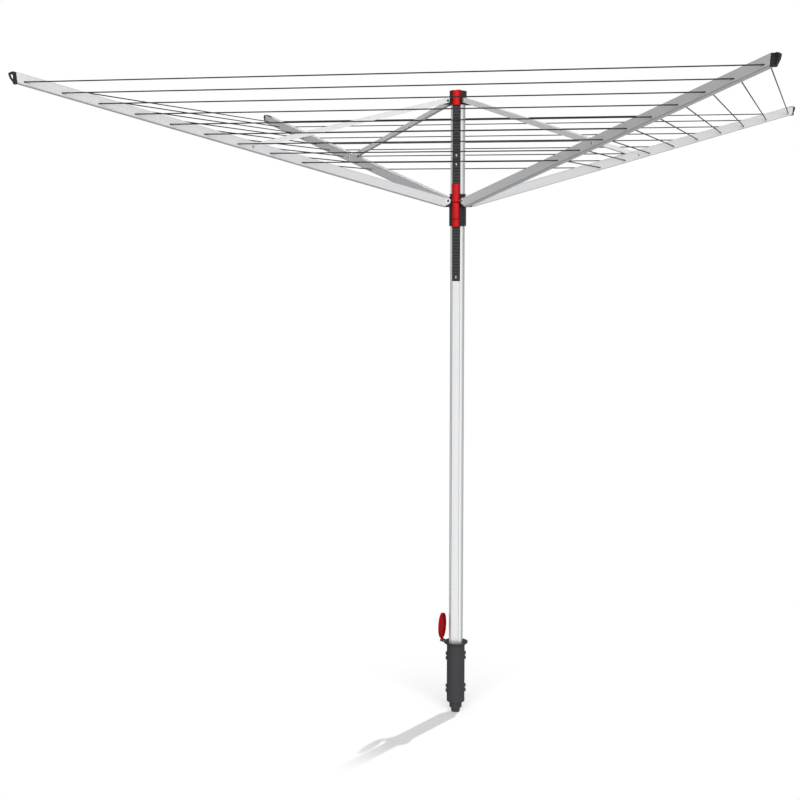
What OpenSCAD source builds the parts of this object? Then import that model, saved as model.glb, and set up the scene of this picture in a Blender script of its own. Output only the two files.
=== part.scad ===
// Rotary clothesline: a mast that turns in a ground socket, and four arms that fold up round it.
// +Z is up. The origin is on the mast axis at ground level, under the socket's flange.
// Arm 1 lies over +X and the others follow anticlockwise. The latch and rack face -X -Y.

/* [Ground socket] */
// Outer diameter of the sleeve
socket_d = 60; // [57:1:66]
// Wall of the sleeve
socket_wall = 3.7; // [3:0.1:4.2]
// Depth of the sleeve below ground, without its stepped tip
socket_depth = 199; // [180:1:260]
// Thickness of the sleeve's floor
socket_floor = 4; // [3:0.5:8]
// Diameter of the flange at the mouth
flange_d = 80; // [78:1:96]
// Height of the flange above ground
flange_h = 8; // [6:0.5:12]
// Diameter of the first step of the tip
step_d = 41.4; // [34:0.2:44]
// Height of the first step
step_h = 21; // [16:1:40]
// Diameter of the second step
point_d = 29.4; // [24:0.2:32]
// Height of the second step
point_h = 15; // [8:1:30]
// How far the side ribs stand out
rib_out = 4; // [2:0.5:8]
// Height of one side rib
rib_h = 26; // [18:1:40]

/* [Socket lid] */
// Thickness of the lid's plate
lid_plate = 3; // [2:0.5:5]
// Depth of the lid's skirt below its plate
lid_skirt = 5; // [3:0.5:7]
// Wall of the skirt
lid_wall = 1.6; // [1.2:0.1:3]
// Diameter of the lid's hinge pin
lid_pin_d = 3; // [2:0.5:4]

/* [Mast] */
// Width of the square pole
pole_w = 42; // [38:0.5:43]
// Outer corner radius of the pole
pole_corner = 9.5; // [8:0.5:11]
// Wall of the pole
pole_wall = 2; // [1.5:0.1:3]
// Height of the top pivots above ground
mast_h = 1794; // [1700:1:2000]
// Width of the groove down the pole's front face
groove_w = 26; // [24:0.5:28]
// Depth of the groove
groove_d = 2.5; // [2:0.1:3.5]

/* [Rack] */
// Length of the rack's lower strip
rack_low_len = 390; // [300:1:450]
// Length of the rack's upper strip
rack_up_len = 175; // [120:1:260]
// Distance from one tooth to the next
rack_pitch = 10; // [8:0.5:14]
// Thickness of the strip behind the teeth
rack_base = 2; // [1.5:0.1:2.4]
// Height of the teeth
rack_tooth = 2; // [1.5:0.1:2.4]
// Diameter of the rack's screws
screw_d = 4; // [3:0.5:5]

/* [Arms] */
// Length from the hub pivot to the end of the channel's floor
arm_len = 1432; // [1400:1:1500]
// Width of the channel
arm_w = 20; // [18:0.5:24]
// Height of the channel
arm_h = 29.5; // [27.5:0.5:35.5]
// Wall of the channel
arm_wall = 1.5; // [1.2:0.1:2]
// Height of the channel's open edge above the pivot line
arm_rise = 8.5; // [7.5:0.5:10.5]
// How far the slanted end of the channel leans out over its height
end_slant = 10.5; // [0:0.5:12]
// Reach of the end cap's loop beyond the end of the channel's floor
cap_reach = 28; // [26:0.5:34]
// Distance from the axis of the mast to the pivots
pivot_r = 44; // [42:0.5:50]
// Diameter of the pivot pins
pin_d = 6; // [5:0.5:7]

/* [Line holes] */
// Number of line holes in one arm
hole_count = 9; // [5:1:9]
// Distance between line holes
hole_pitch = 110; // [90:1:112]
// Distance from the end of the arm to the first line hole
hole_end = 18; // [17:0.5:30]
// Distance of the line holes below the pivot line
hole_drop = 12; // [11:0.5:13]
// Diameter of a line hole
hole_d = 5; // [4:0.5:6]

/* [Struts] */
// Length of a strut between its pivots
strut_len = 705; // [690:1:720]
// Height of the top pivots above the hub pivots with the arms open
pivot_gap = 319; // [280:1:340]
// Width of the strut
strut_w = 14; // [12:0.5:15]
// Height of the strut
strut_h = 15; // [14:0.5:16]
// Wall of the strut
strut_wall = 1.2; // [1:0.1:1.6]
// Distance of the strut pin below the arm's pivot line
pin_drop = 7.2; // [6:0.1:8]

/* [Hubs] */
// Width of the hubs
hub_w = 50; // [48:0.5:52]
// Outer corner radius of the hubs
hub_corner = 12; // [10:0.5:14]
// Length of the sliding hub below its pivots
hub_below = 81; // [70:1:100]
// Length of the sliding hub above its pivots
hub_above = 22; // [20:0.5:30]
// Height of the top hub above its pivots
top_above = 32; // [28:0.5:40]
// Depth of the top hub below its pivots
top_below = 12; // [11:0.5:14]

/* [Latch] */
// Width of the latch lever and the cover under it
latch_w = 26; // [22:0.5:27]
// Height of the lever's tip above the hub pivots
lever_top = 55; // [46:0.5:70]
// Height of the pawl above the hub pivots
pawl_z = 44; // [36:0.5:45]
// Height of the lever's pin above the hub pivots
latch_pin_z = 3; // [2:0.5:6]
// Diameter of the lever's pin
latch_pin_d = 3; // [2:0.25:3]

/* [Clothesline] */
// Diameter of the line
line_d = 3.5; // [2:0.25:4]

/* [Hidden] */
$fn = 64;
eps = 0.01;

// Clearances
run_gap = 0.06;      // radial, between a pin or spigot and its bore
seat_gap = 0.1;      // between pieces that are fixed together
slide_gap = 0.4;     // between the hub and the pole
side_gap = 0.4;      // beside a lug in its channel
move_gap = 0.3;      // between faces that pass each other

// Colours
silver = "#dfe0e0";
pole_silver = "#e4e5e6";
black = "#323234";
dark_grey = "#454547";
red = "#cd2a2e";
deep_red = "#a0161c";
steel = "#9a9ca0";
line_grey = "#4c4d50";

// Socket
bore_r = socket_d / 2 - socket_wall;
mouth_z = 1.5;
tip_flange_h = 5;
floor_z = -socket_depth + socket_floor;
foot_z = floor_z + tip_flange_h + move_gap;
spigot_r = 10;
spigot_h = 15;
drain_r = 3;
rib_turn = 22;       // from the middle of the pole's side faces

// Lid, standing open. It turns on a pin at the edge of the flange.
lid_r = flange_d / 2 + move_gap + lid_wall;
lid_ear_r = 4;
lid_reach = lid_r + lid_ear_r + 3;
lid_pin_z = flange_h + 2;
lid_barrel_w = 15;
lid_ear_w = 3;

// Pole and what is inside it
foot_disc_h = 6;
pole_bottom = foot_z + foot_disc_h;
pole_into_hub = 22;
pole_top = mast_h + pole_into_hub;
pole_face = pole_w / 2;
groove_y = -pole_face + groove_d;
rack_w = groove_w - 0.6;
rack_top = mast_h - top_below - 1;
rack_split = rack_top - rack_up_len;
rack_low = rack_split - rack_low_len;
rack_crest = groove_y - rack_base - rack_tooth;
rack_screw_z = [rack_low + 13, rack_split - 14, rack_split + 15, rack_top - 24];

// Arm angle. The hub pivot, the strut pin and the top pivot form an isosceles triangle.
hub_z = mast_h - pivot_gap;
fold_angle = asin(pivot_gap / 2 / strut_len);
arm_angle = fold_angle + asin(pin_drop / strut_len);
pin_u = sqrt(strut_len * strut_len - pin_drop * pin_drop);
arm_low = arm_rise - arm_h;
channel_w = arm_w - 2 * arm_wall;
nose_r = 11;

// End cap
cap_top = arm_rise - 0.5;
cap_lip = 2.5;       // below the floor of the arm
cap_foot = arm_low - cap_lip;
cap_wall = 3.5;
cap_corner_r = 4.5;
cap_corner = [cap_reach - cap_corner_r, cap_top - 8.5];
cap_elbow = [cap_reach - 6.5, arm_low + 9];
loop_w = 9;
loop_side = 3.5;     // from the middle of the arm
loop_foot = 7.5;

// Pins
pin_r = pin_d / 2;
head_r = pin_r + 2;
head_h = 1.6;

// Lugs that the channels straddle
arm_lug_w = channel_w - 2 * side_gap;
arm_lug_r = 9;
arm_lug_drop = 20;   // of the lug's web, under the nose of the arm
strut_lug_w = strut_w - 2 * strut_wall - 2 * side_gap;
strut_lug_r = strut_h / 2 - strut_wall - move_gap;
lug_root = hub_w / 2 - 3;
top_screw_z = 12;
cap_w = 33;
cap_crease = 13;

// Latch, seen from its front. The lever turns on a pin just below the hub pivots.
window_w = latch_w + 2 * move_gap;
hub_face = hub_w / 2;
latch_proud = 5.5;
latch_front = hub_face + latch_proud;
lever_back = -rack_crest + move_gap + 2.2;
latch_pin_y = -lever_back - 2.2;
barrel_r = latch_pin_d / 2 + 1.7;
ear_w = 2.4;
ear_r = latch_pin_d / 2 + 1.3;
lever_foot = latch_pin_z - 6.4;
cover_top = lever_foot - 1.5;
cover_foot = hub_below + 2;
cover_crease = -58;
pawl_h = 3;
pawl_w = 16;
spring_wire = 0.8;
spring_r = latch_pin_d / 2 + run_gap + spring_wire / 2;
spring_turns = 4;
spring_wall = 2.2;   // side wall of the lever, outside the springs
pocket_w = spring_turns * spring_wire + 1;
pocket_mid = latch_w / 2 - spring_wall - pocket_w / 2;
hub_groove_z = 14;
hub_groove_h = 4.5;
hub_groove_d = 2.4;

// Clothesline
line_r = line_d / 2;
line_sides = 8;
floor_v = arm_low + arm_wall + line_r + 0.2;
knot_r = 3.2;
knot_y = channel_w / 2 - knot_r - 0.2;

function hole_u(k) = arm_len - hole_end - k * hole_pitch;

// Where the end cap begins at the height v, along the arm's slanted end
function cap_seat(v) = seat_gap + end_slant * (v - arm_low) / arm_h;

// Where a line from the point p touches a circle, on one side or the other
function touch(p, middle, r, side) =
    let (d = middle - p, a = atan2(d[1], d[0]) + side * asin(r / norm(d)))
    middle + r * [cos(a + side * 90), sin(a + side * 90)];

// ---- Frames ----

// The pole's square faces look between the arms, with the front face along -X -Y.
module on_mast(z = 0) {
    translate([0, 0, z]) rotate([0, 0, -45]) children();
}

// Frame of arm i: +X out along the arm, +Z up from its pivot line
module on_arm(i) {
    rotate([0, 0, 90 * (i - 1)]) translate([pivot_r, 0, hub_z]) rotate([0, -arm_angle, 0]) children();
}

// Frame of strut i: +X along the strut, away from the top pivot
module on_strut(i) {
    rotate([0, 0, 90 * (i - 1)]) translate([pivot_r, 0, mast_h]) rotate([0, fold_angle, 0]) children();
}

// ---- Shapes that repeat ----

module rounded_square(w, r) {
    square([w - 2 * r, w], center = true);
    square([w, w - 2 * r], center = true);
    for (x = [-1, 1], y = [-1, 1]) translate([x * (w / 2 - r), y * (w / 2 - r)]) circle(r);
}

// Round bar across the Y axis
module cross_bar(r, w) {
    rotate([90, 0, 0]) cylinder(r = r, h = w, center = true);
}

// Pin across Y with a head at each end
module headed_pin(r, w) {
    cross_bar(r, w + 2 * head_h);
    for (s = [-1, 1]) translate([0, s * (w + head_h) / 2, 0]) cross_bar(head_r, head_h);
}

// Bores for the pivot pins of a hub
module pivot_bores(z) {
    for (i = [0 : 3]) rotate([0, 0, 90 * i]) translate([pivot_r, 0, z]) {
        cross_bar(pin_r + seat_gap, 2 * arm_w);
    }
}

// Side view in X and Z, given thickness across Y
module plate(w) {
    rotate([90, 0, 0]) linear_extrude(w, center = true) children();
}

// Section of the red front pieces, narrower at the front
module front_section(w, back, front) {
    bevel = 2;
    nose = w / 2 - bevel;
    polygon([[-w / 2, -back], [-w / 2, -front + 1.5 * bevel], [-nose, -front], [nose, -front],
        [w / 2, -front + 1.5 * bevel], [w / 2, -back]]);
}

// ---- Ground socket ----

module socket_sleeve() {
    r = socket_d / 2;
    f = flange_d / 2;
    color(dark_grey) difference() {
        union() {
            rotate_extrude() polygon([
                [r - 2, -socket_depth], [r, -socket_depth + 2], [r, 0], [r + 5.5, 0],
                [f, flange_h / 2], [f, flange_h], [f - 1.5, flange_h], [bore_r, mouth_z],
                [bore_r, floor_z], [step_d / 2 + seat_gap, floor_z],
                [step_d / 2 + seat_gap, -socket_depth]
            ]);
            on_mast() {
                for (s = [-1, 1], z = [-41, -socket_depth + 46]) rotate([0, 0, rib_turn]) socket_rib(s, z);
                lid_ears();
            }
        }
        on_mast() translate([-lid_reach, 0, lid_pin_z]) {
            cross_bar(lid_pin_d / 2 + seat_gap, 2 * lid_barrel_w);
        }
    }
}

// Rib that keys the sleeve into the ground, notched in the middle
module socket_rib(side, z) {
    w = 7;
    notch = rib_h / 4;
    x = side * (socket_d / 2 + rib_out / 2 - 1);
    for (s = [-1, 1]) translate([x, 0, z + s * (rib_h + notch) / 4]) {
        cube([rib_out + 2, w, (rib_h - notch) / 2], center = true);
    }
    translate([side * (socket_d / 2 - 0.5), 0, z]) cube([3, w, rib_h - 2], center = true);
}

module lid_ears() {
    for (s = [-1, 1]) {
        translate([0, s * (lid_barrel_w + lid_ear_w) / 2 + s * move_gap, 0]) plate(lid_ear_w) {
            translate([-lid_reach, lid_pin_z]) circle(lid_ear_r);
            polygon([
                [-lid_reach, lid_pin_z + lid_ear_r], [-lid_reach, lid_pin_z - lid_ear_r],
                [2 - flange_d / 2, flange_h / 2], [2 - flange_d / 2, flange_h]
            ]);
        }
    }
}

module socket_tip() {
    r = step_d / 2;
    p = point_d / 2;
    bottom = -socket_depth - step_h - point_h;
    color(dark_grey) rotate_extrude() polygon([
        [drain_r, bottom], [p - 2, bottom], [p, bottom + 2], [p, bottom + point_h],
        [r - 2, bottom + point_h], [r, bottom + point_h + 2], [r, floor_z],
        [bore_r - seat_gap, floor_z], [bore_r - seat_gap, floor_z + tip_flange_h],
        [spigot_r + run_gap, floor_z + tip_flange_h],
        [spigot_r + run_gap, foot_z - spigot_h - move_gap], [drain_r, foot_z - spigot_h - move_gap]
    ]);
}

module lid_pin() {
    w = lid_barrel_w + 2 * lid_ear_w + 2 * move_gap;
    color(steel) on_mast() translate([-lid_reach, 0, lid_pin_z]) cross_bar(lid_pin_d / 2, w);
}

module socket_lid() {
    plate_x = -lid_reach - lid_plate + 1;
    color(deep_red) on_mast() difference() {
        union() {
            translate([plate_x, 0, lid_pin_z + lid_reach]) rotate([0, 90, 0]) {
                cylinder(r = lid_r, h = lid_plate);
                difference() {
                    cylinder(r = lid_r, h = lid_plate + lid_skirt);
                    cylinder(r = lid_r - lid_wall, h = lid_plate + lid_skirt + 1);
                }
            }
            translate([-lid_reach, 0, lid_pin_z]) cross_bar(lid_pin_d / 2 + 1.8, lid_barrel_w);
            translate([plate_x, -lid_barrel_w / 2, lid_pin_z]) {
                cube([lid_plate, lid_barrel_w, lid_reach - lid_r + 3]);
            }
        }
        translate([-lid_reach, 0, lid_pin_z]) cross_bar(lid_pin_d / 2 + run_gap, 2 * lid_barrel_w);
    }
}

// ---- Mast ----

module pole() {
    color(pole_silver) on_mast() difference() {
        translate([0, 0, pole_bottom]) linear_extrude(pole_top - pole_bottom) difference() {
            rounded_square(pole_w, pole_corner);
            pole_hollow();
            translate([-groove_w / 2, -pole_face - 1]) square([groove_w, groove_d + 1]);
        }
        for (z = rack_screw_z) screw_bore(z, screw_d / 2 + seat_gap);
        for (s = [-1, 1]) top_screw_bore(s, mast_h + top_screw_z, screw_d / 2 + seat_gap);
    }
}

// Inside of the pole, with the wall kept behind the groove
module pole_hollow(gap = 0) {
    difference() {
        rounded_square(pole_w - 2 * (pole_wall + gap), pole_corner - pole_wall);
        translate([-groove_w / 2 - pole_wall - gap, -pole_face]) {
            square([groove_w + 2 * (pole_wall + gap), groove_d + pole_wall + gap]);
        }
    }
}

// Bore for a screw through the pole's front
module screw_bore(z, r) {
    translate([0, groove_y + pole_wall + 2, z]) rotate([90, 0, 0]) cylinder(r = r, h = 14);
}

// Plug at the bottom of the pole, with the spigot that it turns on
module pole_foot() {
    color(black) {
        on_mast(pole_bottom) linear_extrude(28) pole_hollow(seat_gap);
        translate([0, 0, foot_z]) cylinder(r = bore_r - run_gap, h = foot_disc_h);
        translate([0, 0, foot_z - spigot_h]) cylinder(r = spigot_r, h = spigot_h + eps);
    }
}

// Round bush on the pole in the mouth of the socket
module pole_collar() {
    h = 22;
    color(black) difference() {
        translate([0, 0, mouth_z - h]) cylinder(r = bore_r - run_gap, h = h);
        on_mast(mouth_z - h - 1) linear_extrude(h + 2) {
            rounded_square(pole_w + 2 * seat_gap, pole_corner + seat_gap);
        }
    }
}

// Toothed strip in the pole's groove, between two heights
module rack(z0, z1) {
    gap_centre = hub_z + pawl_z;
    first = ceil((z0 + 3 - gap_centre) / rack_pitch - 0.5);
    last = floor((z1 - 3 - gap_centre) / rack_pitch - 0.5);
    color(dark_grey) on_mast() difference() {
        union() {
            translate([-rack_w / 2, groove_y - rack_base, z0]) cube([rack_w, rack_base, z1 - z0]);
            for (k = [first : last]) {
                translate([-rack_w / 2, rack_crest, gap_centre + (k + 0.5) * rack_pitch - rack_pitch / 4]) {
                    cube([rack_w, rack_tooth + eps, rack_pitch / 2]);
                }
            }
        }
        for (z = rack_screw_z) {
            screw_bore(z, screw_d / 2 + seat_gap);
            translate([0, groove_y - rack_base + eps, z]) rotate([90, 0, 0]) {
                cylinder(r = screw_d + seat_gap, h = rack_tooth + 1);
            }
        }
    }
}

module rack_lower() { rack(rack_low, rack_split - move_gap); }

module rack_upper() { rack(rack_split, rack_top); }

module rack_screws() {
    head = rack_tooth - 0.2;
    color(steel) on_mast() for (z = rack_screw_z) translate([0, groove_y - rack_base, z]) {
        rotate([90, 0, 0]) cylinder(r = screw_d, h = head);
        rotate([-90, 0, 0]) cylinder(r = screw_d / 2, h = rack_base + pole_wall + 3);
    }
}

// ---- Top hub ----

module top_screw_bore(side, z, r) {
    translate([side * (pole_face - pole_wall - 1), 0, z]) rotate([0, 90 * side, 0]) cylinder(r = r, h = 14);
}

module top_hub() {
    color(black) difference() {
        union() {
            on_mast(mast_h - top_below) linear_extrude(top_below + top_above) {
                rounded_square(hub_w, hub_corner);
            }
            for (i = [0 : 3]) rotate([0, 0, 90 * i]) translate([0, 0, mast_h]) plate(strut_lug_w) strut_lug();
        }
        on_mast(mast_h - top_below - 1) linear_extrude(top_below + pole_into_hub + 1 + seat_gap) {
            rounded_square(pole_w + 2 * seat_gap, pole_corner + seat_gap);
        }
        pivot_bores(mast_h);
        on_mast() {
            for (s = [-1, 1]) top_screw_bore(s, mast_h + top_screw_z, screw_d / 2 + seat_gap);
            translate([-latch_w / 2 - 2, -hub_face - 1, mast_h - top_below - 1]) {
                cube([latch_w + 4, 3, top_below + cap_crease + 1]);
            }
            translate([-cap_w / 2 - 2 * seat_gap, -hub_face - 1, mast_h + cap_crease - eps]) {
                cube([cap_w + 4 * seat_gap, 3, top_above - cap_crease + 1]);
            }
        }
    }
}

// Side view of the lug that a strut's channel straddles
module strut_lug() {
    translate([pivot_r, 0]) circle(strut_lug_r);
    polygon([
        [lug_root, strut_lug_r], [pivot_r, strut_lug_r], [pivot_r + strut_lug_r, 0],
        [pivot_r + strut_lug_r, -top_below], [lug_root, -top_below]
    ]);
}

// Red strap over the top hub's front and crown, broader above its crease
module top_cap() {
    back = hub_face - 2 + seat_gap;
    front = latch_front - 1;
    crown_h = 5;
    crown_r = 14;
    dome_r = (crown_r * crown_r + crown_h * crown_h) / (2 * crown_h);
    color(red) on_mast(mast_h) {
        difference() {
            union() {
                translate([0, 0, -top_below - 2]) linear_extrude(top_below + 2 + cap_crease) {
                    front_section(latch_w + 2, back, front);
                }
                translate([0, 0, cap_crease]) linear_extrude(top_above + seat_gap + 1.5 - cap_crease) {
                    front_section(cap_w, back, front + 0.8);
                }
            }
            translate([0, -front - 0.6, cap_crease]) rotate([0, 90, 0]) {
                cylinder(r = 1.4, h = 60, center = true);
            }
            translate([0, -front, -top_below - 2]) rotate([45, 0, 0]) cube([60, 2.5, 2.5], center = true);
            translate([0, -front - 0.8, top_above + 1.6]) {
                rotate([45, 0, 0]) cube([60, 2.5, 2.5], center = true);
            }
        }
        translate([-cap_w / 2 + 4, -back - 0.5, top_above + seat_gap]) cube([cap_w - 8, back + 0.5, 1.5]);
        intersection() {
            translate([0, 0, top_above + seat_gap + crown_h - dome_r]) sphere(r = dome_r);
            translate([0, 0, top_above + seat_gap]) cylinder(r = crown_r + 1, h = crown_h + 1);
        }
    }
}

module top_pins() {
    color(steel) for (i = [0 : 3]) rotate([0, 0, 90 * i]) translate([pivot_r, 0, mast_h]) {
        headed_pin(pin_r, strut_w + 2 * move_gap);
    }
}

module top_screws() {
    reach = hub_w / 2 - pole_face + pole_wall;
    color(steel) on_mast(mast_h + top_screw_z) for (s = [-1, 1]) rotate([0, 90 * s, 0]) {
        translate([0, 0, hub_w / 2]) cylinder(r = screw_d, h = 2);
        translate([0, 0, hub_w / 2 - reach]) cylinder(r = screw_d / 2, h = reach + eps);
    }
}

// ---- Struts and arms ----

module strut(i) {
    color(silver) on_strut(i) difference() {
        plate(strut_w) {
            for (x = [0, strut_len]) translate([x, 0]) circle(strut_h / 2);
            translate([0, -strut_h / 2]) square([strut_len, strut_h]);
        }
        translate([-strut_h, -strut_w / 2 + strut_wall, -strut_h]) {
            cube([strut_len + 2 * strut_h, strut_w - 2 * strut_wall, 1.5 * strut_h - strut_wall]);
        }
        for (x = [0, strut_len]) translate([x, 0, 0]) cross_bar(pin_r + run_gap, 2 * strut_w);
    }
}

// Pin of a strut in its arm, with a spacer on each side of the strut
module strut_pin(i) {
    spacer_w = (channel_w - strut_w) / 2 - side_gap;
    color(steel) on_arm(i) translate([pin_u, 0, -pin_drop]) {
        headed_pin(pin_r, arm_w + seat_gap);
        for (s = [-1, 1]) translate([0, s * (channel_w - spacer_w - seat_gap) / 2, 0]) difference() {
            cross_bar(pin_r + 2, spacer_w);
            cross_bar(pin_r + seat_gap, 2 * spacer_w);
        }
    }
}

// Channel, open along its top, with a nose cut back below the hub pivot
module arm(i) {
    color(silver) on_arm(i) difference() {
        plate(arm_w) {
            circle(nose_r);
            polygon([
                [0, arm_rise], [0, 0], [-nose_r * cos(35), -nose_r * sin(35)],
                [5, arm_low + 2.5], [8, arm_low], [arm_len, arm_low],
                [arm_len + end_slant, arm_rise]
            ]);
        }
        translate([-2 * nose_r, -channel_w / 2, arm_low + arm_wall]) {
            cube([arm_len + 4 * nose_r, channel_w, 2 * arm_h]);
        }
        cross_bar(pin_r + run_gap, 2 * arm_w);
        translate([pin_u, 0, -pin_drop]) cross_bar(pin_r + seat_gap, 2 * arm_w);
        for (k = [0 : hole_count - 1]) {
            translate([hole_u(k), 0, -hole_drop]) cross_bar(hole_d / 2, 2 * arm_w);
        }
    }
}

// End cap: a plug in the channel, a closing plate and a loop to hang things from
module tip_cap(i) {
    plug = hole_end - hole_d / 2 - line_r - 2;
    color(black) on_arm(i) translate([arm_len, 0, 0]) {
        plate(arm_w) cap_plate();
        translate([0, loop_side, 0]) difference() {
            plate(loop_w) cap_loop();
            plate(2 * loop_w) cap_eye();
        }
        translate([-plug, -channel_w / 2 + seat_gap, arm_low + arm_wall + seat_gap]) {
            cube([plug + 1, channel_w - 2 * seat_gap, arm_h - arm_wall - seat_gap - 2]);
        }
    }
}

// The closing plate lies along the arm's slanted end and hangs below its floor.
module cap_plate() {
    polygon([
        [cap_seat(arm_low), cap_foot], [cap_seat(arm_low) + 2 * cap_wall, cap_foot],
        [cap_seat(cap_top) + cap_wall, cap_top], [cap_seat(cap_top), cap_top],
        [cap_seat(arm_low), arm_low]
    ]);
}

// The loop stands off the plate, to one side, and rounds off at its outer corner.
module cap_loop() {
    brow = [cap_corner[0] - 4, cap_top];
    polygon([
        [cap_wall, cap_foot], [loop_foot, cap_foot], cap_elbow,
        touch(cap_elbow, cap_corner, cap_corner_r, -1), cap_corner,
        touch(brow, cap_corner, cap_corner_r, 1), brow,
        [cap_seat(cap_top) + 1, cap_top], [cap_seat(arm_low) + 1, arm_low]
    ]);
    translate(cap_corner) circle(cap_corner_r);
}

module cap_eye() {
    eye_top = cap_corner[1];
    eye_foot = cap_elbow[1];
    polygon([
        [cap_seat(eye_top) + cap_wall, eye_top], [cap_corner[0] - 2.6, eye_top],
        cap_corner + [-0.5, -2], cap_elbow + [-3.3, 2.2],
        [loop_foot + 3.5, cap_foot + loop_foot], [cap_seat(eye_foot) + cap_wall, eye_foot]
    ]);
}

// ---- Sliding hub and latch ----

module hub_body() {
    color(black) difference() {
        union() {
            on_mast(hub_z) {
                translate([0, 0, -hub_below]) linear_extrude(hub_below + hub_groove_z) {
                    rounded_square(hub_w, hub_corner);
                }
                translate([0, 0, hub_groove_z - eps]) linear_extrude(hub_groove_h + 2 * eps) {
                    rounded_square(hub_w - 2 * hub_groove_d, hub_corner - hub_groove_d);
                }
                translate([0, 0, hub_groove_z + hub_groove_h]) {
                    linear_extrude(hub_above - hub_groove_z - hub_groove_h) {
                        rounded_square(hub_w, hub_corner);
                    }
                }
                for (s = [-1, 1]) translate([s * (window_w + ear_w) / 2, 0, 0]) latch_ear();
            }
            for (i = [0 : 3]) rotate([0, 0, 90 * i]) translate([0, 0, hub_z]) plate(arm_lug_w) {
                translate([pivot_r, 0]) circle(arm_lug_r);
                polygon([
                    [lug_root, arm_lug_r], [pivot_r, arm_lug_r], [pivot_r + arm_lug_r, 0],
                    [pivot_r + 5, -arm_lug_drop], [lug_root, -arm_lug_drop]
                ]);
            }
        }
        on_mast(hub_z - hub_below - 1) linear_extrude(hub_below + hub_above + 2) {
            rounded_square(pole_w + 2 * slide_gap, pole_corner + slide_gap);
            translate([-window_w / 2, -hub_w]) square([window_w, hub_w - pole_face + 4]);
        }
        pivot_bores(hub_z);
        on_mast(hub_z) latch_axis() cylinder(r = latch_pin_d / 2 + seat_gap, h = 2 * hub_w, center = true);
    }
}

// Frame along the lever's pin
module latch_axis() {
    translate([0, latch_pin_y, latch_pin_z]) rotate([0, 90, 0]) children();
}

module latch_ear() {
    latch_axis() cylinder(r = ear_r, h = ear_w, center = true);
    translate([-ear_w / 2, latch_pin_y, latch_pin_z - ear_r]) {
        cube([ear_w, hub_face - pole_face + 1, 2 * ear_r]);
    }
}

// Fixed red cover under the lever, closing the hub's front
module hub_cover() {
    back = lever_back - 1.4;
    color(red) on_mast(hub_z) difference() {
        translate([0, 0, -cover_foot]) linear_extrude(cover_foot + cover_top) {
            front_section(latch_w, back, latch_front);
        }
        translate([0, -latch_front - 0.2, cover_crease]) rotate([0, 90, 0]) {
            cylinder(r = 1.6, h = 60, center = true);
        }
        for (z = [-cover_foot, cover_top]) edge_bevel(z, 2);
    }
}

// Bevel across the front of a red piece at one of its ends
module edge_bevel(z, size) {
    translate([0, -latch_front, z]) rotate([45, 0, 0]) cube([60, size, size], center = true);
}

module hub_pins() {
    color(steel) for (i = [0 : 3]) rotate([0, 0, 90 * i]) translate([pivot_r, 0, hub_z]) {
        headed_pin(pin_r, arm_w + 2 * move_gap);
    }
}

module latch_pin() {
    color(steel) on_mast(hub_z) latch_axis() {
        cylinder(r = latch_pin_d / 2, h = window_w + 2 * ear_w, center = true);
    }
}

// Coils round the lever's pin, one on each side of its barrel
module latch_springs() {
    color(steel) on_mast(hub_z) latch_axis() for (s = [-1, 1], k = [0 : spring_turns - 1]) {
        turn_z = pocket_mid + ((spring_turns - 1) / 2 - k) * spring_wire * 0.98;
        translate([0, 0, s * turn_z]) rotate_extrude() {
            translate([spring_r, 0]) circle(spring_wire / 2);
        }
    }
}

// Red tongue over the rack, with pockets in its back for the springs and the pawl
module latch_lever() {
    pocket_r = spring_r + spring_wire / 2 + move_gap;
    color(red) on_mast(hub_z) difference() {
        union() {
            translate([0, 0, lever_foot]) linear_extrude(lever_top - lever_foot) {
                front_section(latch_w, lever_back, latch_front);
            }
            latch_axis() cylinder(r = barrel_r, h = 2 * pocket_mid - pocket_w, center = true);
        }
        latch_axis() {
            cylinder(r = latch_pin_d / 2 + run_gap, h = 2 * hub_w, center = true);
            for (s = [-1, 1]) translate([0, 0, s * pocket_mid]) {
                cylinder(r = pocket_r, h = pocket_w, center = true);
                translate([-pocket_r, 0, -pocket_w / 2]) cube([2 * pocket_r, 9, pocket_w]);
            }
        }
        for (z = [lever_foot, lever_top]) edge_bevel(z, 2);
        translate([-pawl_w / 2 - seat_gap, -lever_back - 3, pawl_z - pawl_h / 2 - seat_gap]) {
            cube([pawl_w + 2 * seat_gap, 4, pawl_h + 2 * seat_gap]);
        }
    }
}

// Steel pawl let into the back of the lever. At rest its edge is just clear of the teeth.
module latch_pawl() {
    set_in = 2.9;
    color(steel) on_mast(hub_z) translate([-pawl_w / 2, -lever_back - set_in, pawl_z - pawl_h / 2]) {
        cube([pawl_w, lever_back + set_in + rack_crest - move_gap, pawl_h]);
    }
}

// ---- Clothesline ----

// Point in arm i's frame (out, across, up) moved to the part's frame
function arm_point(i, u, y, v) = let (
    x = pivot_r + u * cos(arm_angle) - v * sin(arm_angle),
    z = hub_z + u * sin(arm_angle) + v * cos(arm_angle),
    a = 90 * (i - 1)
) [x * cos(a) - y * sin(a), x * sin(a) + y * cos(a), z];

// The line goes in at one side of an arm's hole and out at the other
function through_arm(i, k) = [for (s = [-1, 1]) arm_point(i, hole_u(k), s * arm_w / 2, -hole_drop)];

// In arm 1 the line runs along the channel's floor to the next hole in
function step_in(k) = [
    arm_point(1, hole_u(k), -arm_w / 2, -hole_drop), arm_point(1, hole_u(k), -5, -hole_drop),
    arm_point(1, hole_u(k) - 8, -1, floor_v), arm_point(1, hole_u(k + 1) + 8, 1, floor_v),
    arm_point(1, hole_u(k + 1), 5, -hole_drop), arm_point(1, hole_u(k + 1), arm_w / 2, -hole_drop)
];

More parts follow.
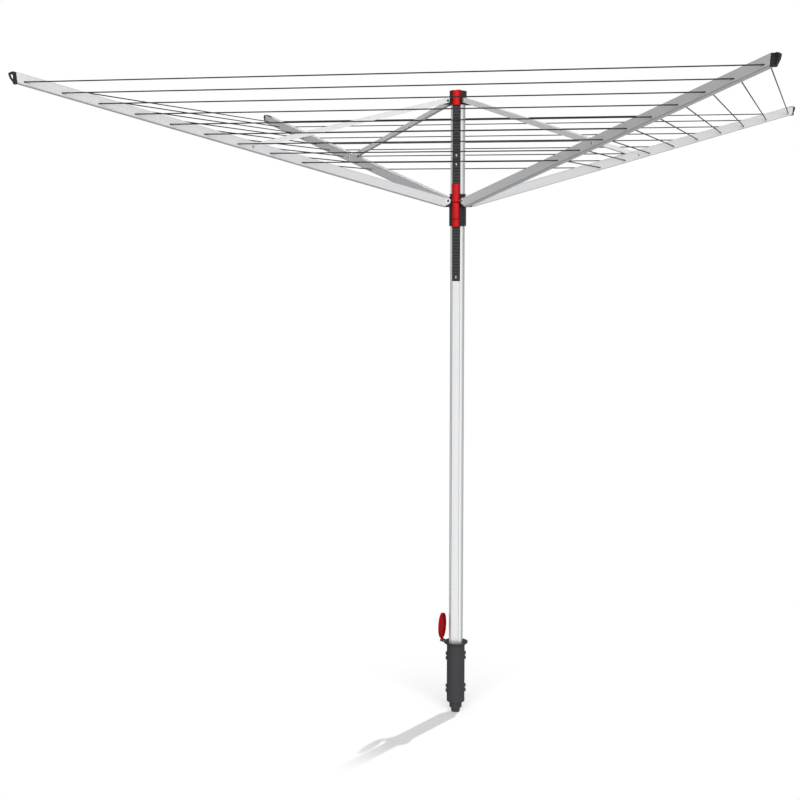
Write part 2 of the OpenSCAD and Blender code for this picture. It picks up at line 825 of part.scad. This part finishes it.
// One spiral from the knot at the outermost hole to the knot at the innermost
line_path = concat(
    [arm_point(1, hole_u(0), knot_y, -hole_drop), arm_point(1, hole_u(0), arm_w / 2, -hole_drop)],
    [for (k = [0 : hole_count - 1]) each concat(
        through_arm(2, k), through_arm(3, k), through_arm(4, k),
        k < hole_count - 1 ? step_in(k) : []
    )],
    [arm_point(1, hole_u(hole_count - 1), -arm_w / 2, -hole_drop),
        arm_point(1, hole_u(hole_count - 1), -knot_y, -hole_drop)]
);

function unit(v) = v / norm(v);

// Ring of points round path point i, on the plane that halves the bend there
function line_ring(path, i) = let (
    last = len(path) - 1,
    into = unit(path[max(i, 1)] - path[max(i, 1) - 1]),
    away = unit(path[min(i + 1, last)] - path[min(i, last - 1)]),
    along = unit(into + away),
    side = unit(cross(along, [0, 0, 1])),
    up = cross(side, along),
    stretch = 1 / max(0.7, along * into)
) [for (j = [0 : line_sides - 1]) let (a = 360 * j / line_sides)
    path[i] + line_r * (stretch * cos(a) * side + sin(a) * up)];

module clothesline() {
    n = line_sides;
    rings = len(line_path);
    color(line_grey) {
        polyhedron(
            points = [for (i = [0 : rings - 1]) each line_ring(line_path, i)],
            faces = concat(
                [[for (j = [0 : n - 1]) j]],
                [for (i = [0 : rings - 2], j = [0 : n - 1])
                    [i * n + j, (i + 1) * n + j, (i + 1) * n + (j + 1) % n, i * n + (j + 1) % n]],
                [[for (j = [n - 1 : -1 : 0]) (rings - 1) * n + j]]
            )
        );
        translate(line_path[0]) sphere(r = knot_r, $fn = 16);
        translate(line_path[rings - 1]) sphere(r = knot_r, $fn = 16);
    }
}

// ---- Parts ----

socket_sleeve();
socket_tip();
lid_pin();
socket_lid();
pole();
pole_foot();
pole_collar();
rack_lower();
rack_upper();
rack_screws();
top_hub();
top_cap();
top_pins();
top_screws();
clothesline();
for (i = [1 : 4]) {
    strut(i);
    arm(i);
    strut_pin(i);
    tip_cap(i);
}
hub_body();
hub_cover();
hub_pins();
latch_pin();
latch_springs();
latch_lever();
latch_pawl();
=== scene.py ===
from math import asin, cos, radians, sin, sqrt

import bpy
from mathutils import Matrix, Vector


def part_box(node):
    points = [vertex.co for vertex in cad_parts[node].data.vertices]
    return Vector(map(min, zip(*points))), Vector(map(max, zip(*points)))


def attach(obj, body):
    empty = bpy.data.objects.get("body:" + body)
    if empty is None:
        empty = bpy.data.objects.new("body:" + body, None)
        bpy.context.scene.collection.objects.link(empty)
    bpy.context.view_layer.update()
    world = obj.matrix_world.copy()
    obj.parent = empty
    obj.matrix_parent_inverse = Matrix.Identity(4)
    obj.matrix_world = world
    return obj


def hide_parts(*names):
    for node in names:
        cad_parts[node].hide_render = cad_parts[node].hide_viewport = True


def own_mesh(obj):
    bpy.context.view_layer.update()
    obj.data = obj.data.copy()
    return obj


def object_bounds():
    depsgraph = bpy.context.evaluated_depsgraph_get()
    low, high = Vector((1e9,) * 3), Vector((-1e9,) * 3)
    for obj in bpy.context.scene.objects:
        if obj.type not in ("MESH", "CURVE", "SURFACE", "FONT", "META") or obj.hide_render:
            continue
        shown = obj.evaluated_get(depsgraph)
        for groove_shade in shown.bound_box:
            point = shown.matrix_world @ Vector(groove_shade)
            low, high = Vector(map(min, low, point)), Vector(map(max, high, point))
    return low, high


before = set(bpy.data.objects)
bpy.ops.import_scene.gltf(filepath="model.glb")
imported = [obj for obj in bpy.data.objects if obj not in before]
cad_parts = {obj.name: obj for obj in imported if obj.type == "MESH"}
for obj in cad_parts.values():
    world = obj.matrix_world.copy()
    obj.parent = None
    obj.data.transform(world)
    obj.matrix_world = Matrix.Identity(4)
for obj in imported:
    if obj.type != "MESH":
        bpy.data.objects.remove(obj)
cad_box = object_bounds()


# ---- Ground socket ----
# A sleeve of dark grey polypropylene with side ribs and a stepped tip pushed into its end.
# It is injection moulded: a fine spark-eroded skin, faint flow marks, and edges that scuff pale.

class Field:
    """One output of a node. Sums written with it add Math nodes to the same tree."""

    def __init__(self, tree, socket=None):
        self.tree = tree
        self.socket = socket

    def node(self, kind, settings=None, inputs=None, output=0):
        made = self.tree.nodes.new(kind)
        for name, value in (settings or {}).items():
            setattr(made, name, value)
        for key, value in (inputs or {}).items():
            if isinstance(value, Field):
                self.tree.links.new(value.socket, made.inputs[key])
            else:
                made.inputs[key].default_value = value
        return Field(self.tree, made.outputs[output] if made.outputs else None)

    def math(self, operation, *values):
        return self.node("ShaderNodeMath", {"operation": operation}, dict(enumerate(values)))

    def __add__(self, other):
        return self.math("ADD", self, other)

    __radd__ = __add__

    def __sub__(self, other):
        return self.math("SUBTRACT", self, other)

    def __rsub__(self, other):
        return self.math("SUBTRACT", other, self)

    def __mul__(self, other):
        return self.math("MULTIPLY", self, other)

    __rmul__ = __mul__

    def __truediv__(self, other):
        return self.math("DIVIDE", self, other)

    def size(self):
        return self.math("ABSOLUTE", self)

    def root(self):
        return self.math("SQRT", self)

    def greater(self, other):
        return self.math("MAXIMUM", self, other)

    def lesser(self, other):
        return self.math("MINIMUM", self, other)

    def step(self, low, high):
        """0 below low, 1 above high, and smooth between them"""
        return self.node("ShaderNodeMapRange", {"interpolation_type": "SMOOTHSTEP"},
                         {"Value": self, "From Min": low, "From Max": high})

    def band(self, centre, half, soft):
        """1 within half of centre, falling to 0 over soft"""
        return 1.0 - (self - centre).size().step(half, half + soft)

    def mix(self, low, high):
        """Colour low where this field is 0, and high where it is 1"""
        low, high = ((*c, 1.0) if isinstance(c, tuple) else c for c in (low, high))
        return self.node("ShaderNodeMix", {"data_type": "RGBA"}, {0: self, 6: low, 7: high}, 2)

    def noise(self, scale, detail=3.0, stretch=(1.0, 1.0, 1.0)):
        """Noise on a place, scale in lumps per metre"""
        placed = self.node("ShaderNodeMapping", None, {"Vector": self, "Scale": stretch})
        return self.node("ShaderNodeTexNoise", None,
                         {"Vector": placed, "Scale": scale, "Detail": detail})

    def along(self, direction):
        """How far this vector reaches in a direction"""
        return self.node("ShaderNodeVectorMath", {"operation": "DOT_PRODUCT"},
                         {0: self, 1: direction}, 1)


class Finish:
    """A material with one Principled shader, and what its patterns are worked out from"""

    def __init__(self, name):
        self.material = bpy.data.materials.new(name)
        self.material.use_nodes = True
        self.tree = self.material.node_tree
        self.shader = self.tree.nodes["Principled BSDF"]
        self.start = Field(self.tree)
        self.place = self.start.node("ShaderNodeTexCoord", None, None, 3)

    def axes(self):
        """Object coordinates x, y and z, in metres"""
        return [self.start.node("ShaderNodeSeparateXYZ", None, {0: self.place}, n) for n in range(3)]

    def front_axes(self):
        """Places across the mast, ahead of it on the latch's side, and up"""
        x, y, z = self.axes()
        return (x - y) * sqrt(0.5), (x + y) * -sqrt(0.5), z

    def edge(self, radius):
        """1 on an edge that hands and tools rub, 0 on flat faces"""
        rounded = self.start.node("ShaderNodeBevel", {"samples": 4}, {"Radius": radius})
        flat = self.start.node("ShaderNodeNewGeometry", None, None, 3)
        return (1.0 - rounded.along(flat)).step(0.02, 0.25)

    def relief(self, height, depth, radius=0.0006):
        """Surface relief of depth metres on edges rounded to radius"""
        rounded = self.start.node("ShaderNodeBevel", {"samples": 4}, {"Radius": radius})
        return self.start.node("ShaderNodeBump", None, {"Height": height, "Distance": depth,
                                                        "Normal": rounded})

    def set(self, **sockets):
        """Feed the shader's sockets, and hand back the finished material"""
        for name, value in sockets.items():
            socket = self.shader.inputs[name.replace("_", " ")]
            if isinstance(value, Field):
                self.tree.links.new(value.socket, socket)
            else:
                socket.default_value = value
        return self.material


def linear(red, green, blue):
    """A colour given in 8-bit display values"""
    return tuple(((c / 255 + 0.055) / 1.055) ** 2.4 if c > 10 else c / 255 / 12.92
                 for c in (red, green, blue))


def tint(colour, amount):
    """A colour made darker or brighter"""
    return tuple(min(1.0, c * amount) for c in colour)


relief_depth = 0.00004
crease_shade_half, crease_shade_soft = 0.0012, 0.0014
flank_shade_start, flank_shade_end = 0.0085, 0.0130


def moulded(name, colour, scuffed, rough, wear=0.25, shine=0.25, crown=0.0, shaded_creases=()):
    """Injection-moulded plastic with edges rubbed pale by wear.

    Where it has a crown, its front is rounded and its flanks get painted shade. Shaded creases are
    heights where a band of painted shade is laid.
    """
    skin = Finish(name)
    flow = skin.place.noise(9.0, 4.0, (1.0, 1.0, 0.35))
    cloud = skin.place.noise(55.0, 3.0)
    grain = skin.place.noise(2400.0, 2.0)
    rub = skin.edge(0.0009) * skin.place.noise(160.0, 3.0).step(0.35, 0.65)
    across, _, z = skin.front_axes()
    body = flow.step(0.3, 0.7).mix(tint(colour, 0.93), tint(colour, 1.07))
    body = (cloud.step(0.45, 0.75) * 0.3).mix(body, tint(colour, 1.14))
    body = (rub * wear).mix(body, scuffed)
    for height in shaded_creases:
        # painted shade in a crease
        crease_shade = z.band(height, crease_shade_half, crease_shade_soft)
        body = (crease_shade * 0.75).mix(body, tint(colour, 0.35))
    if crown:
        # painted shade on the flanks, which face away from the light
        flank_shade = across.size().step(flank_shade_start, flank_shade_end)
        body = (flank_shade * 0.6).mix(body, tint(colour, 0.35))
    rounded = across * across * (crown / relief_depth)
    return skin.set(Base_Color=body,
                    Roughness=rough + flow * 0.10 + cloud * 0.08 + rub * 0.15,
                    Specular_IOR_Level=shine,
                    Normal=skin.relief(grain + cloud * 1.5 - rounded, relief_depth))


def coat(material, *nodes):
    """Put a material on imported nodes"""
    for name in nodes:
        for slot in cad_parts[name].material_slots:
            slot.material = material


socket_grey = linear(60, 60, 62)
coat(moulded("socket_polypropylene", socket_grey, linear(120, 120, 122), rough=0.50),
     "socket_sleeve", "socket_tip")


# ---- Socket lid ----
# A red lid on a pin at the edge of the flange, which closes the mouth when the mast is out.
# Here it stands open beside the pole. It is moulded in a deeper red than the hubs' covers.

lid_red = linear(172, 4, 8)
coat(moulded("lid_plastic", lid_red, linear(205, 80, 80), rough=0.50, wear=0.0, shine=0.08),
     "socket_lid")


# ---- Pole ----
# Square extruded tube with round corners and a shallow channel down its front, anodised silver.
# The die leaves fine lines along it, and the groove's corners have painted shade. A black foot
# and collar guide it in the socket.

def drawn(skin, length, across, depth, colour, metal, rough):
    """Extruded aluminium: die lines along its length, on soft clouds of anodising"""
    laid = skin.start.node("ShaderNodeCombineXYZ", None, {0: length * 0.004, 1: across, 2: depth})
    die = laid.noise(1100.0, 2.0)
    wide = laid.noise(140.0, 2.0)
    cloud = skin.place.noise(6.0, 3.0)
    fleck = skin.place.noise(500.0, 2.0).step(0.68, 0.76)
    rub = skin.edge(0.0008)
    body = die.step(0.3, 0.7).mix(tint(colour, 0.96), tint(colour, 1.03))
    body = (wide.step(0.4, 0.7) * 0.35).mix(body, tint(colour, 0.92))
    body = (cloud.step(0.35, 0.75) * 0.3).mix(body, tint(colour, 0.94))
    body = (fleck * 0.15).mix(body, tint(colour, 0.75))
    body = (rub * 0.35).mix(body, tint(colour, 1.10))
    skin.set(Metallic=metal,
             Roughness=rough + die * 0.08 + wide * 0.06 + fleck * 0.1,
             Normal=skin.relief(die + wide * 0.6, 0.000008))
    return body


skin = Finish("anodised_pole")
x, y, z = skin.axes()
pole_silver = linear(238, 239, 240)
groove_half = 0.013
front_from, front_soft = 0.015, 0.002
groove_shade_half, groove_shade_soft = 0.0007, 0.0006
body = drawn(skin, z, x, y, pole_silver, metal=0.65, rough=0.30)
across, ahead, _ = skin.front_axes()
# painted shade in the groove's corners on the front face
groove_shade = across.size().band(groove_half, groove_shade_half, groove_shade_soft)
groove_shade = groove_shade * ahead.step(front_from, front_from + front_soft)
coat(skin.set(Base_Color=(groove_shade * 0.8).mix(body, tint(pole_silver, 0.3))), "pole")

hub_black = linear(40, 39, 42)
coat(moulded("pole_fitting_plastic", hub_black, linear(100, 100, 102), rough=0.45),
     "pole_foot", "pole_collar")


# ---- Rack ----
# Two dark toothed strips of nylon screwed into the pole's channel. The latch's pawl drops
# between the teeth, so their crests are worn smoother. The crests carry a painted highlight and
# the gaps painted shade.

crest_y = 0.0225
tooth_h = 0.002
skin = Finish("rack_nylon")
_, ahead, _ = skin.front_axes()
crest_polish_and_highlight = ahead.step(crest_y - tooth_h, crest_y - 0.3 * tooth_h)
rack_grey = linear(46, 46, 48)
cloud = skin.place.noise(70.0, 3.0)
# painted highlight on the crests and painted shade in the gaps
body = crest_polish_and_highlight.mix(tint(rack_grey, 0.5), tint(rack_grey, 1.3))
body = (cloud.step(0.5, 0.8) * 0.3).mix(body, tint(rack_grey, 1.4))
coat(skin.set(Base_Color=body,
              Roughness=0.55 - crest_polish_and_highlight * 0.2 + cloud * 0.08,
              Normal=skin.relief(skin.place.noise(1800.0, 2.0), 0.00004, 0.0004)),
     "rack_lower", "rack_upper")


# ---- Hubs and latch ----
# The top hub is a black nylon block on the pole's end under a red cap strap, and the sliding
# hub carries the arms. Its red cover and lever are the parts that hands use. Their fronts are
# crowned, with painted shade on their flanks and in creases where the cover meets the lever
# and low on the cover.

coat(moulded("hub_nylon", hub_black, linear(105, 104, 106), rough=0.42), "top_hub", "hub_body")
hub_red = linear(200, 26, 29)
cover_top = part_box("hub_cover")[1].z
lower_crease = 0.054
# painted shade in the creases at the cover's top and low on the cover, and on the crowned front's
# flanks
coat(moulded("latch_plastic", hub_red, linear(232, 120, 118), rough=0.34, crown=45.0,
             shaded_creases=(cover_top, cover_top - lower_crease)),
     "top_cap", "hub_cover", "latch_lever")


# ---- Arms and struts ----
# Open aluminium channels. The arms turn on the sliding hub and carry the line through holes
# in both walls, and the struts tie them to the top hub. The arms have painted light inside and
# a painted highlight round their pivots, and painted shade along the lip and the foot.

def pin_centre(node):
    """Height of a hub's pins, and their distance from the mast's axis"""
    low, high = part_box(node)
    return (low.z + high.z) / 2, high.x - (high.z - low.z) / 2


hub_z, pivot_r = pin_centre("hub_pins")
top_z, _ = pin_centre("top_pins")
strut_len = 0.705
pin_drop = 0.0072
strut_angle = asin((top_z - hub_z) / 2 / strut_len)
arm_angle = strut_angle + asin(pin_drop / strut_len)


def channel_axes(skin, height, angle):
    """Places along, up and across any of the four channels, from a pivot at that height"""
    x, y, z = skin.axes()
    x, y = x.size(), y.size()
    far = x.greater(y) - pivot_r
    return (far * cos(angle) + (z - height) * sin(angle),
            (z - height) * cos(angle) - far * sin(angle), x.lesser(y))


arm_rise = 0.0085
arm_drop = 0.021
arm_wall = 0.0015
arm_wall_mid = 0.0092
wall_soft = 0.0010
nose_highlight_r, nose_highlight_soft = 0.0088, 0.0008
lip_shade_start, lip_shade_end = 0.0018, 0.0004
foot_shade_start, foot_shade_end = 0.0014, 0.0030
skin = Finish("arm_aluminium")
run, rise, side = channel_axes(skin, hub_z, arm_angle)
arm_silver = linear(229, 230, 232)
painted_light_metal = linear(243, 243, 244)
arm_metal = 0.45
# painted light: the channel's inner faces and a ring round the pivot are made pale and not metallic
inside = 1.0 - side.step(arm_wall_mid - 0.4 * wall_soft, arm_wall_mid)
nose_highlight = 1.0 - (run * run + rise * rise).root().step(nose_highlight_r, nose_highlight_r + nose_highlight_soft)
painted_light = inside.greater(nose_highlight)
body = drawn(skin, run, rise, side, arm_silver, metal=arm_metal - painted_light * arm_metal, rough=0.42)
body = painted_light.mix(body, painted_light_metal)
# painted shade: a dark band along the top lip and along the outside of the foot
lip_shade = rise.step(arm_rise - lip_shade_start, arm_rise - lip_shade_end)
outside = side.step(arm_wall_mid - wall_soft, arm_wall_mid)
foot = (1.0 - rise.step(foot_shade_start - arm_drop, foot_shade_end - arm_drop)) * outside
body = (lip_shade * 0.55).mix(body, tint(arm_silver, 0.4))
body = (foot * 0.6).mix(body, tint(arm_silver, 0.3))
coat(skin.set(Base_Color=body), "arm_1", "arm_2", "arm_3", "arm_4")

skin = Finish("strut_aluminium")
run, rise, side = channel_axes(skin, top_z, -strut_angle)
strut_silver = linear(240, 241, 243)
coat(skin.set(Base_Color=drawn(skin, run, rise, side, strut_silver, metal=0.35, rough=0.38)),
     "strut_1", "strut_2", "strut_3", "strut_4")


# ---- Pins, screws and springs ----
# All steel is zinc plated, with a turned lay on the heads and a slightly dull, cloudy coat.
# The pivot pins have painted shade in their sunk middles. The rack screws are dull, the lower
# ones with a painted glint in the middle.

# painted shade for the sunk middles of the pivot pins
core_shade = linear(26, 26, 28)


def plated(name, colour, metal, rough, dark=None, darkened=core_shade):
    """Plated steel, darkened where the mask that dark makes is 1"""
    skin = Finish(name)
    cloud = skin.place.noise(300.0, 3.0)
    turning = skin.place.noise(3000.0, 2.0)
    body = cloud.step(0.35, 0.7).mix(tint(colour, 0.85), tint(colour, 1.1))
    if dark:
        body = dark(skin).mix(body, darkened)
    return skin.set(Base_Color=body, Metallic=metal, Roughness=rough + cloud * 0.2,
                    Normal=skin.relief(turning, 0.00002, 0.0005))


def pin_core(node, wide, tall):
    """Mask of the painted shade in the sunk middle of a hub's or an arm's pins"""
    height, out_at = pin_centre(node)

    def mask(skin):
        x, y, z = skin.axes()
        out = (x.size().greater(y.size()) - out_at) / wide
        up = (z - height) / tall
        return 1.0 - (out * out + up * up).root().step(0.85, 1.1)

    return mask


top_screw_z, screw_soft = 1.70, 0.01
# half width of the painted glint left bright in the middle of the lower rack screws
glint_half, glint_soft = 0.0016, 0.0008


def screw_rim(skin):
    """Mask of the top rack screw, and of all but the painted glint in the middle of the others"""
    across, _, z = skin.front_axes()
    rim = across.size().step(glint_half, glint_half + glint_soft)
    return rim.greater(z.step(top_screw_z, top_screw_z + screw_soft))


pin_steel = linear(226, 227, 229)
zinc = linear(205, 206, 208)
hub_core = (0.0035, 0.0040)
arm_core = (0.0016, 0.0042)
for word in ("hub", "top"):
    coat(plated(word + "_pin_steel", pin_steel, metal=0.45, rough=0.40,
                dark=pin_core(word + "_pins", *hub_core)), word + "_pins")
rack_dull = linear(62, 62, 64)
coat(plated("rack_screw_steel", zinc, metal=0.45, rough=0.28,
            dark=screw_rim, darkened=rack_dull), "rack_screws")
coat(plated("zinc_plated_steel", zinc, metal=0.85, rough=0.28),
     "lid_pin", "top_screws", "latch_pin", "latch_springs", "latch_pawl")
coat(plated("strut_pin_steel", pin_steel, metal=0.45, rough=0.40,
            dark=pin_core("strut_pin_1", *arm_core)),
     "strut_pin_1", "strut_pin_2", "strut_pin_3", "strut_pin_4")


# ---- Tip caps ----
# Black plugs close the slanted ends of the arms, each with a loop for a hook or a cover's cord.

cap_black = linear(44, 44, 47)
coat(moulded("tip_cap_plastic", cap_black, linear(110, 110, 112), rough=0.40),
     "tip_cap_1", "tip_cap_2", "tip_cap_3", "tip_cap_4")


# ---- Clothesline ----
# One grey plastic-coated line, 3.5 mm thick. It runs through the arms hole by hole in nine
# squares, steps in to the next square inside the first arm, and is knotted there at both ends.

hole_count = 9
first_hole = 1.414
hole_pitch = 0.110
hole_drop = 0.012
arm_half = 0.010
line_r = 0.00175
line_gap = 0.0002
bend_r = 0.004
bend_side = 0.005
bend_run = 0.008
laid_up = arm_wall - arm_drop + line_r + line_gap
laid_side = 0.001
knot_r = 0.0032
knot_side = arm_half - arm_wall - knot_r - line_gap
line_sizes = {"Line radius": line_r, "Bend radius": bend_r, "Bend steps": 4, "Sides": 12,
              "Knot radius": knot_r}

skin = Finish("coated_line")
twist = skin.place.noise(700.0, 2.0)
worn = skin.place.noise(12.0, 3.0)
line_grey = linear(34, 35, 37)
body = worn.step(0.35, 0.7).mix(tint(line_grey, 0.85), tint(line_grey, 1.2))
body = (twist.step(0.5, 0.7) * 0.25).mix(body, tint(line_grey, 1.5))
line_coating = skin.set(Base_Color=body, Roughness=0.42 + worn * 0.15, Specular_IOR_Level=0.3,
                        Normal=skin.relief(twist, 0.00004, 0.0002))


def line_sweeper():
    """A tree that rounds a route's bends, sweeps the line along it and knots its lone points"""
    tree = bpy.data.node_groups.new("line_sweep", "GeometryNodeTree")
    tree.interface.new_socket("Route", in_out="INPUT", socket_type="NodeSocketGeometry")
    for name, value in line_sizes.items():
        kind = "NodeSocketInt" if isinstance(value, int) else "NodeSocketFloat"
        tree.interface.new_socket(name, in_out="INPUT", socket_type=kind)
    tree.interface.new_socket("Swept", in_out="OUTPUT", socket_type="NodeSocketGeometry")
    start = Field(tree)
    route, radius, bend, steps, sides, knot = (start.node("NodeGroupInput", None, None, n)
                                               for n in range(6))
    path = start.node("GeometryNodeMeshToCurve", None, {"Mesh": route})
    path = start.node("GeometryNodeFilletCurve", {"mode": "POLY"},
                      {"Curve": path, "Count": steps, "Radius": bend, "Limit Radius": True})
    ring = start.node("GeometryNodeCurvePrimitiveCircle", None,
                      {"Resolution": sides, "Radius": radius})
    line = start.node("GeometryNodeCurveToMesh", None,
                      {"Curve": path, "Profile Curve": ring, "Fill Caps": True})
    neighbours = start.node("GeometryNodeInputMeshVertexNeighbors")
    lone = neighbours.math("LESS_THAN", neighbours, 1.0)
    ends = start.node("GeometryNodeMeshToPoints", None, {"Mesh": route, "Selection": lone})
    ball = start.node("GeometryNodeMeshUVSphere", None,
                      {"Segments": 16, "Rings": 10, "Radius": knot})
    knots = start.node("GeometryNodeInstanceOnPoints", None, {"Points": ends, "Instance": ball})
    line = start.node("GeometryNodeJoinGeometry", None, {0: line})
    tree.links.new(knots.socket, line.socket.node.inputs[0])
    line = start.node("GeometryNodeSetShadeSmooth", None, {"Geometry": line})
    line = start.node("GeometryNodeRealizeInstances", None, {"Geometry": line})
    line = start.node("GeometryNodeSetMaterial", None,
                      {"Geometry": line, "Material": line_coating})
    start.node("NodeGroupOutput", None, {0: line})
    return tree


line_tree = line_sweeper()


def swept(name, routes, knots=()):
    """Line laid along routes, each a list of points, with its knots, as one plain mesh"""
    points = [point for route in routes for point in route] + list(knots)
    pairs = []
    start = 0
    for route in routes:
        pairs += [(start + n, start + n + 1) for n in range(len(route) - 1)]
        start += len(route)
    mesh = bpy.data.meshes.new(name + "_route")
    mesh.from_pydata(points, pairs, [])
    guide = bpy.data.objects.new(name + "_route", mesh)
    bpy.context.scene.collection.objects.link(guide)
    grown = guide.modifiers.new("sweep", "NODES")
    grown.node_group = line_tree
    for item in line_tree.interface.items_tree:
        if item.name in line_sizes:
            grown[item.identifier] = line_sizes[item.name]
    evaluated = guide.evaluated_get(bpy.context.evaluated_depsgraph_get())
    made = bpy.data.meshes.new_from_object(evaluated)
    made.name = name
    piece = bpy.data.objects.new(name, made)
    bpy.context.scene.collection.objects.link(piece)
    bpy.data.objects.remove(guide)
    return piece


def on_arm(arm, along, across, up):
    """Place in the frame from a place on an arm: along it, across it and up from its pivot line"""
    turn = radians(90 * (arm - 1))
    out = pivot_r + along * cos(arm_angle) - up * sin(arm_angle)
    return Vector((out * cos(turn) - across * sin(turn), out * sin(turn) + across * cos(turn),
                   hub_z + along * sin(arm_angle) + up * cos(arm_angle)))


def hole(k):
    """Place of a hole along an arm, counted from the tip"""
    return first_hole - k * hole_pitch


def half_span(arm, side, k):
    """From the outer face of the arm's wall to half way to the next arm"""
    near = on_arm(arm, hole(k), side * arm_half, -hole_drop)
    far = on_arm((arm - 1 + side) % 4 + 1, hole(k), -side * arm_half, -hole_drop)
    return [near, (near + far) / 2]


for arm in (1, 2, 3, 4):
    turn = radians(90 * (arm - 1))
    for side, word in ((1, "left"), (-1, "right")):
        halves = [half_span(arm, side, k) for k in range(hole_count)]
        spans = swept(f"line_{arm}_{word}", halves)
        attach(spans, f"arm_{arm}")
        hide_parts("clothesline")
        sideways = Vector((-sin(turn), cos(turn), 0.0)) * side
        upright = Vector((-sin(arm_angle) * cos(turn), -sin(arm_angle) * sin(turn), cos(arm_angle)))
        sideways + upright * sin(arm_angle)
        on_arm(arm, hole(0), side * arm_half, -hole_drop)
        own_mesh(spans)

    knots = ()
    routes = [[on_arm(arm, hole(k), across * arm_half, -hole_drop) for across in (-1, 1)]
              for k in range(hole_count)]
    if arm == 1:
        routes = [[on_arm(1, hole(0), across, -hole_drop) for across in (knot_side, arm_half)]]
        for k in range(hole_count - 1):
            routes.append([on_arm(1, hole(k), -arm_half, -hole_drop),
                           on_arm(1, hole(k), -bend_side, -hole_drop),
                           on_arm(1, hole(k) - bend_run, -laid_side, laid_up),
                           on_arm(1, hole(k + 1) + bend_run, laid_side, laid_up),
                           on_arm(1, hole(k + 1), bend_side, -hole_drop),
                           on_arm(1, hole(k + 1), arm_half, -hole_drop)])
        last = hole(hole_count - 1)
        routes.append([on_arm(1, last, across, -hole_drop) for across in (-arm_half, -knot_side)])
        knots = (routes[0][0], routes[-1][-1])
    inside = swept(f"line_in_arm_{arm}", routes, knots)
    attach(inside, f"arm_{arm}")
    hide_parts("clothesline")


# ---- Studio ----
# A pale floor under the socket's tip, a soft wide light from the front, a sharp one from
# behind that lays the shadow, and a white surround that is brighter on one side.

floor_z = cad_box[0].z
floor_half = 30.0
floor_mesh = bpy.data.meshes.new("floor")
floor_mesh.from_pydata([(x * floor_half, y * floor_half, floor_z)
                        for x, y in ((-1, -1), (1, -1), (1, 1), (-1, 1))], [], [(0, 1, 2, 3)])
floor = bpy.data.objects.new("floor", floor_mesh)
bpy.context.scene.collection.objects.link(floor)

shadow_start, shadow_end = 0.36, 0.70
bright_side = (cos(radians(264)), sin(radians(264)))
bright_gain = 0.45
bright_mean = 0.57
soft_sky = 0.23
floor_shade = 0.325
floor_glow = 0.105
horizon_glow = 0.16
white = (1.0, 1.0, 1.0, 1.0)
skin = Finish("pale_floor")
x, y, _ = skin.axes()
reach = (x * x + y * y).root()
seen = skin.start.node("ShaderNodeLightPath", None, None, 0)
speck = skin.place.noise(30.0, 3.0)
pale = speck.mix((0.90, 0.90, 0.90), (0.93, 0.93, 0.93))
skin.set(Base_Color=seen.mix((floor_shade,) * 3, pale), Roughness=0.9,
         Specular_IOR_Level=0.0)


def glow(strength):
    """White light given off by the floor"""
    return skin.start.node("ShaderNodeEmission", None, {"Color": white, "Strength": strength})


lit = skin.start.node("ShaderNodeAddShader", None,
                      {0: Field(skin.tree, skin.shader.outputs[0]), 1: glow(seen * floor_glow)})
faded = skin.start.node("ShaderNodeMixShader", None,
                        {0: reach.step(shadow_start, shadow_end) * seen, 1: lit, 2: glow(1.0)})
mirrored = skin.start.node("ShaderNodeLightPath", None, None, 3)
ahead = (x * bright_side[0] + y * bright_side[1]) / reach
bright = ahead * bright_gain + (bright_mean + horizon_glow)
finished = skin.start.node("ShaderNodeMixShader", None, {0: mirrored, 1: faded, 2: glow(bright)})
skin.tree.links.new(finished.socket, skin.tree.nodes["Material Output"].inputs["Surface"])
floor_mesh.materials.append(skin.material)


def lamp(name, azimuth, elevation, strength, spread):
    """A sun lamp that shines from a direction given in degrees, unseen in reflections"""
    light = bpy.data.lights.new(name, "SUN")
    light.energy = strength
    light.angle = radians(spread)
    holder = bpy.data.objects.new(name, light)
    a, e = radians(azimuth), radians(elevation)
    toward = Vector((cos(a) * cos(e), sin(a) * cos(e), sin(e)))
    holder.rotation_euler = toward.to_track_quat("Z", "Y").to_euler()
    holder.visible_glossy = False
    bpy.context.scene.collection.objects.link(holder)


lamp("front_soft", azimuth=241, elevation=24, strength=2.85, spread=60)
lamp("back_sharp", azimuth=27.1, elevation=34.1, strength=2.2, spread=1.2)

world = bpy.data.worlds.new("surround")
bpy.context.scene.world = world
world.use_nodes = True
air = Field(world.node_tree)
sky = air.node("ShaderNodeTexCoord", None, None, 0)
facing = sky.along((*bright_side, 0.0))
camera_ray = air.node("ShaderNodeLightPath", None, None, 0)
glossy_ray = air.node("ShaderNodeLightPath", None, None, 3)
level = glossy_ray * (facing * bright_gain + bright_mean - soft_sky) + soft_sky
level = camera_ray.greater(level)
background = world.node_tree.nodes["Background"]
background.inputs["Color"].default_value = white
world.node_tree.links.new(level.socket, background.inputs["Strength"])

camera = bpy.data.cameras.new("camera")
camera.lens = 70.365
camera.sensor_width = 36.0
camera.clip_end = 200.0
viewer = bpy.data.objects.new("camera", camera)
viewer.location = (-2.7157, -4.3439, 1.4452)
viewer.rotation_euler = (radians(90 - 6.922), 0.0, radians(60.085 - 90))
bpy.context.scene.collection.objects.link(viewer)
bpy.context.scene.camera = viewer
bpy.context.scene.view_settings.view_transform = "Standard"
